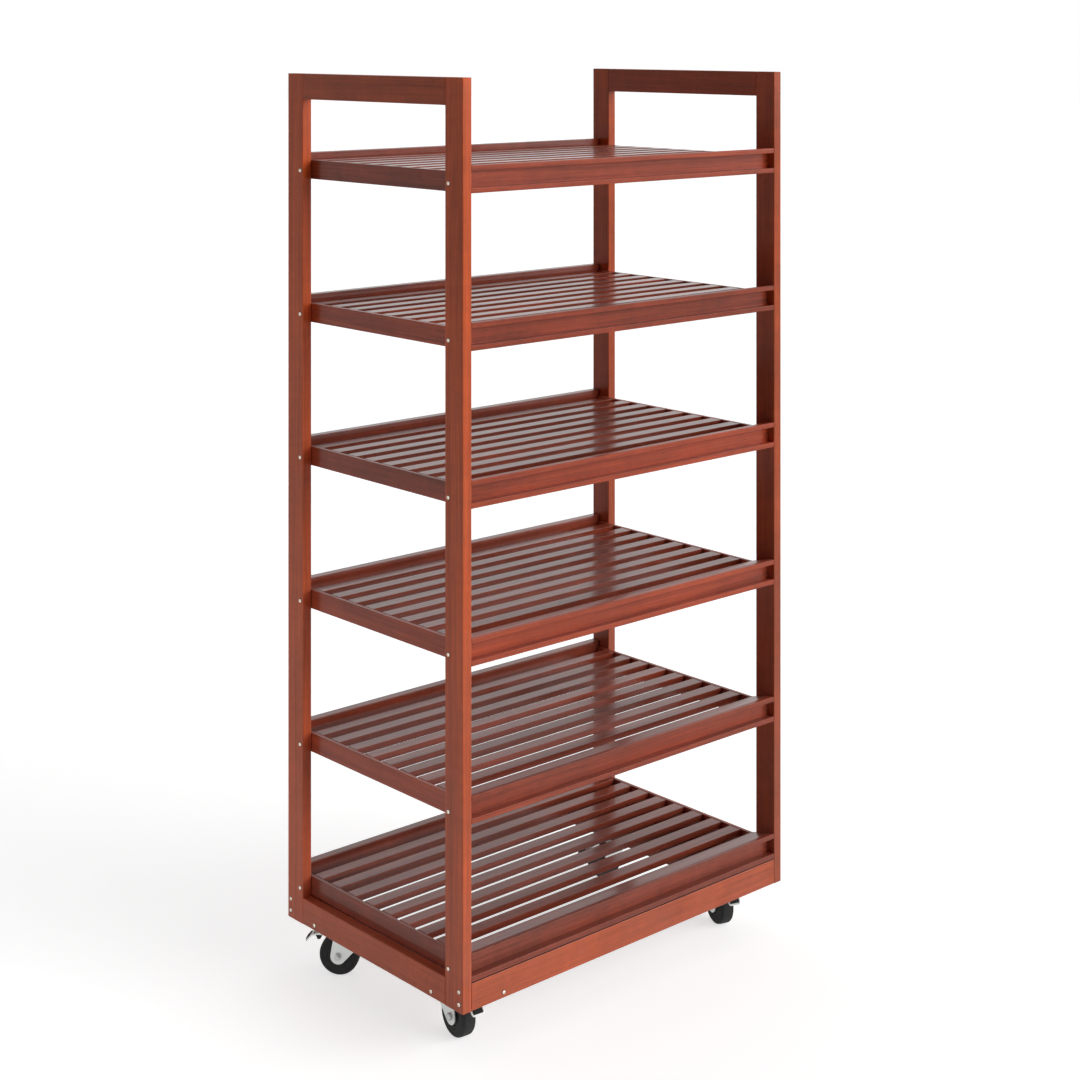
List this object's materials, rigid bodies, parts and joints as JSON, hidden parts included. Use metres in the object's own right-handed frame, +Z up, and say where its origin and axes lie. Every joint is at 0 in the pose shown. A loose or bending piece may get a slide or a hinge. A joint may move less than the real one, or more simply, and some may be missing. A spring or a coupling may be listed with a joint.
{
  "type": "bakery bread rack",
  "caption": "Tall rolling wooden bread rack with open slatted shelves between two end frames, label channels along the shelf fronts and braked swivel casters.",
  "frame": {"origin": "on the floor, under the middle of the rack's footprint", "axes": "+X to the right along the front, +Y from the front to the back, +Z up"},
  "size_m": [0.778, 0.495, 1.609],
  "materials": {
    "lacquered_wood": "red mahogany stain under glossy lacquer",
    "base_board_wood": "red mahogany stain, thin lacquer",
    "zinc_steel": "bright zinc plate on pressed steel",
    "bolt_steel": "zinc plated bolt",
    "black_rubber": "matt black solid rubber",
    "black_plastic": "moulded black"
  },
  "bodies": {
    "rack": {"left_front_post": "lacquered_wood", "left_back_post": "lacquered_wood", "left_top_rail": "lacquered_wood", "left_bottom_rail": "lacquered_wood", "right_front_post": "lacquered_wood", "right_back_post": "lacquered_wood", "right_top_rail": "lacquered_wood", "right_bottom_rail": "lacquered_wood", "front_base_rail": "lacquered_wood", "back_base_rail": "lacquered_wood", "left_caster_board": "base_board_wood", "right_caster_board": "base_board_wood", "shelf_1_slat_deck": "lacquered_wood", "shelf_1_front_rail": "lacquered_wood", "shelf_1_back_rail": "lacquered_wood", "shelf_2_slat_deck": "lacquered_wood", "shelf_2_front_rail": "lacquered_wood", "shelf_2_back_rail": "lacquered_wood", "shelf_3_slat_deck": "lacquered_wood", "shelf_3_front_rail": "lacquered_wood", "shelf_3_back_rail": "lacquered_wood", "shelf_4_slat_deck": "lacquered_wood", "shelf_4_front_rail": "lacquered_wood", "shelf_4_back_rail": "lacquered_wood", "shelf_5_slat_deck": "lacquered_wood", "shelf_5_front_rail": "lacquered_wood", "shelf_5_back_rail": "lacquered_wood", "shelf_6_slat_deck": "lacquered_wood", "shelf_6_front_rail": "lacquered_wood", "shelf_6_back_rail": "lacquered_wood", "front_left_caster_plate": "zinc_steel", "front_right_caster_plate": "zinc_steel", "back_left_caster_plate": "zinc_steel", "back_right_caster_plate": "zinc_steel"},
    "front_left_swivel_fork": {"front_left_fork": "zinc_steel", "front_left_axle_bolt": "bolt_steel"},
    "front_left_wheel": {"front_left_tyre": "black_rubber", "front_left_hub": "black_plastic"},
    "front_left_brake": {"front_left_brake_lever": "zinc_steel", "front_left_brake_shoe": "black_rubber"},
    "front_right_swivel_fork": {"front_right_fork": "zinc_steel", "front_right_axle_bolt": "bolt_steel"},
    "front_right_wheel": {"front_right_tyre": "black_rubber", "front_right_hub": "black_plastic"},
    "front_right_brake": {"front_right_brake_lever": "zinc_steel", "front_right_brake_shoe": "black_rubber"},
    "back_left_swivel_fork": {"back_left_fork": "zinc_steel", "back_left_axle_bolt": "bolt_steel"},
    "back_left_wheel": {"back_left_tyre": "black_rubber", "back_left_hub": "black_plastic"},
    "back_left_brake": {"back_left_brake_lever": "zinc_steel", "back_left_brake_shoe": "black_rubber"},
    "back_right_swivel_fork": {"back_right_fork": "zinc_steel", "back_right_axle_bolt": "bolt_steel"},
    "back_right_wheel": {"back_right_tyre": "black_rubber", "back_right_hub": "black_plastic"},
    "back_right_brake": {"back_right_brake_lever": "zinc_steel", "back_right_brake_shoe": "black_rubber"}
  },
  "joints": [
    {"name": "front_left_swivel", "type": "hinge", "parent": "rack", "child": "front_left_swivel_fork", "pos_m": [-0.323, -0.1325, 0.08], "axis": [0, 0, 1], "continuous": true},
    {"name": "front_left_wheel_spin", "type": "hinge", "parent": "front_left_swivel_fork", "child": "front_left_wheel", "pos_m": [-0.32593, -0.16035, 0.036], "axis": [0.9945, -0.1045, 0], "continuous": true},
    {"name": "front_left_brake_press", "type": "hinge", "parent": "front_left_swivel_fork", "child": "front_left_brake", "pos_m": [-0.32865, -0.1862, 0.073], "axis": [0.9945, -0.1045, 0], "range_deg": [0, 22]},
    {"name": "front_right_swivel", "type": "hinge", "parent": "rack", "child": "front_right_swivel_fork", "pos_m": [0.323, -0.1325, 0.08], "axis": [0, 0, 1], "continuous": true},
    {"name": "front_right_wheel_spin", "type": "hinge", "parent": "front_right_swivel_fork", "child": "front_right_wheel", "pos_m": [0.31435, -0.15913, 0.036], "axis": [0.9511, -0.309, 0], "continuous": true},
    {"name": "front_right_brake_press", "type": "hinge", "parent": "front_right_swivel_fork", "child": "front_right_brake", "pos_m": [0.30631, -0.18386, 0.073], "axis": [0.9511, -0.309, 0], "range_deg": [0, 22]},
    {"name": "back_left_swivel", "type": "hinge", "parent": "rack", "child": "back_left_swivel_fork", "pos_m": [-0.323, 0.1325, 0.08], "axis": [0, 0, 1], "continuous": true},
    {"name": "back_left_wheel_spin", "type": "hinge", "parent": "back_left_swivel_fork", "child": "back_left_wheel", "pos_m": [-0.341, 0.15395, 0.036], "axis": [-0.766, -0.6428, 0], "continuous": true},
    {"name": "back_left_brake_press", "type": "hinge", "parent": "back_left_swivel_fork", "child": "back_left_brake", "pos_m": [-0.35771, 0.17387, 0.073], "axis": [-0.766, -0.6428, 0], "range_deg": [0, 22]},
    {"name": "back_right_swivel", "type": "hinge", "parent": "rack", "child": "back_right_swivel_fork", "pos_m": [0.323, 0.1325, 0.08], "axis": [0, 0, 1], "continuous": true},
    {"name": "back_right_wheel_spin", "type": "hinge", "parent": "back_right_swivel_fork", "child": "back_right_wheel", "pos_m": [0.29507, 0.13445, 0.036], "axis": [-0.0698, -0.9976, 0], "continuous": true},
    {"name": "back_right_brake_press", "type": "hinge", "parent": "back_right_swivel_fork", "child": "back_right_brake", "pos_m": [0.26913, 0.13627, 0.073], "axis": [-0.0698, -0.9976, 0], "range_deg": [0, 22]}
  ]
}
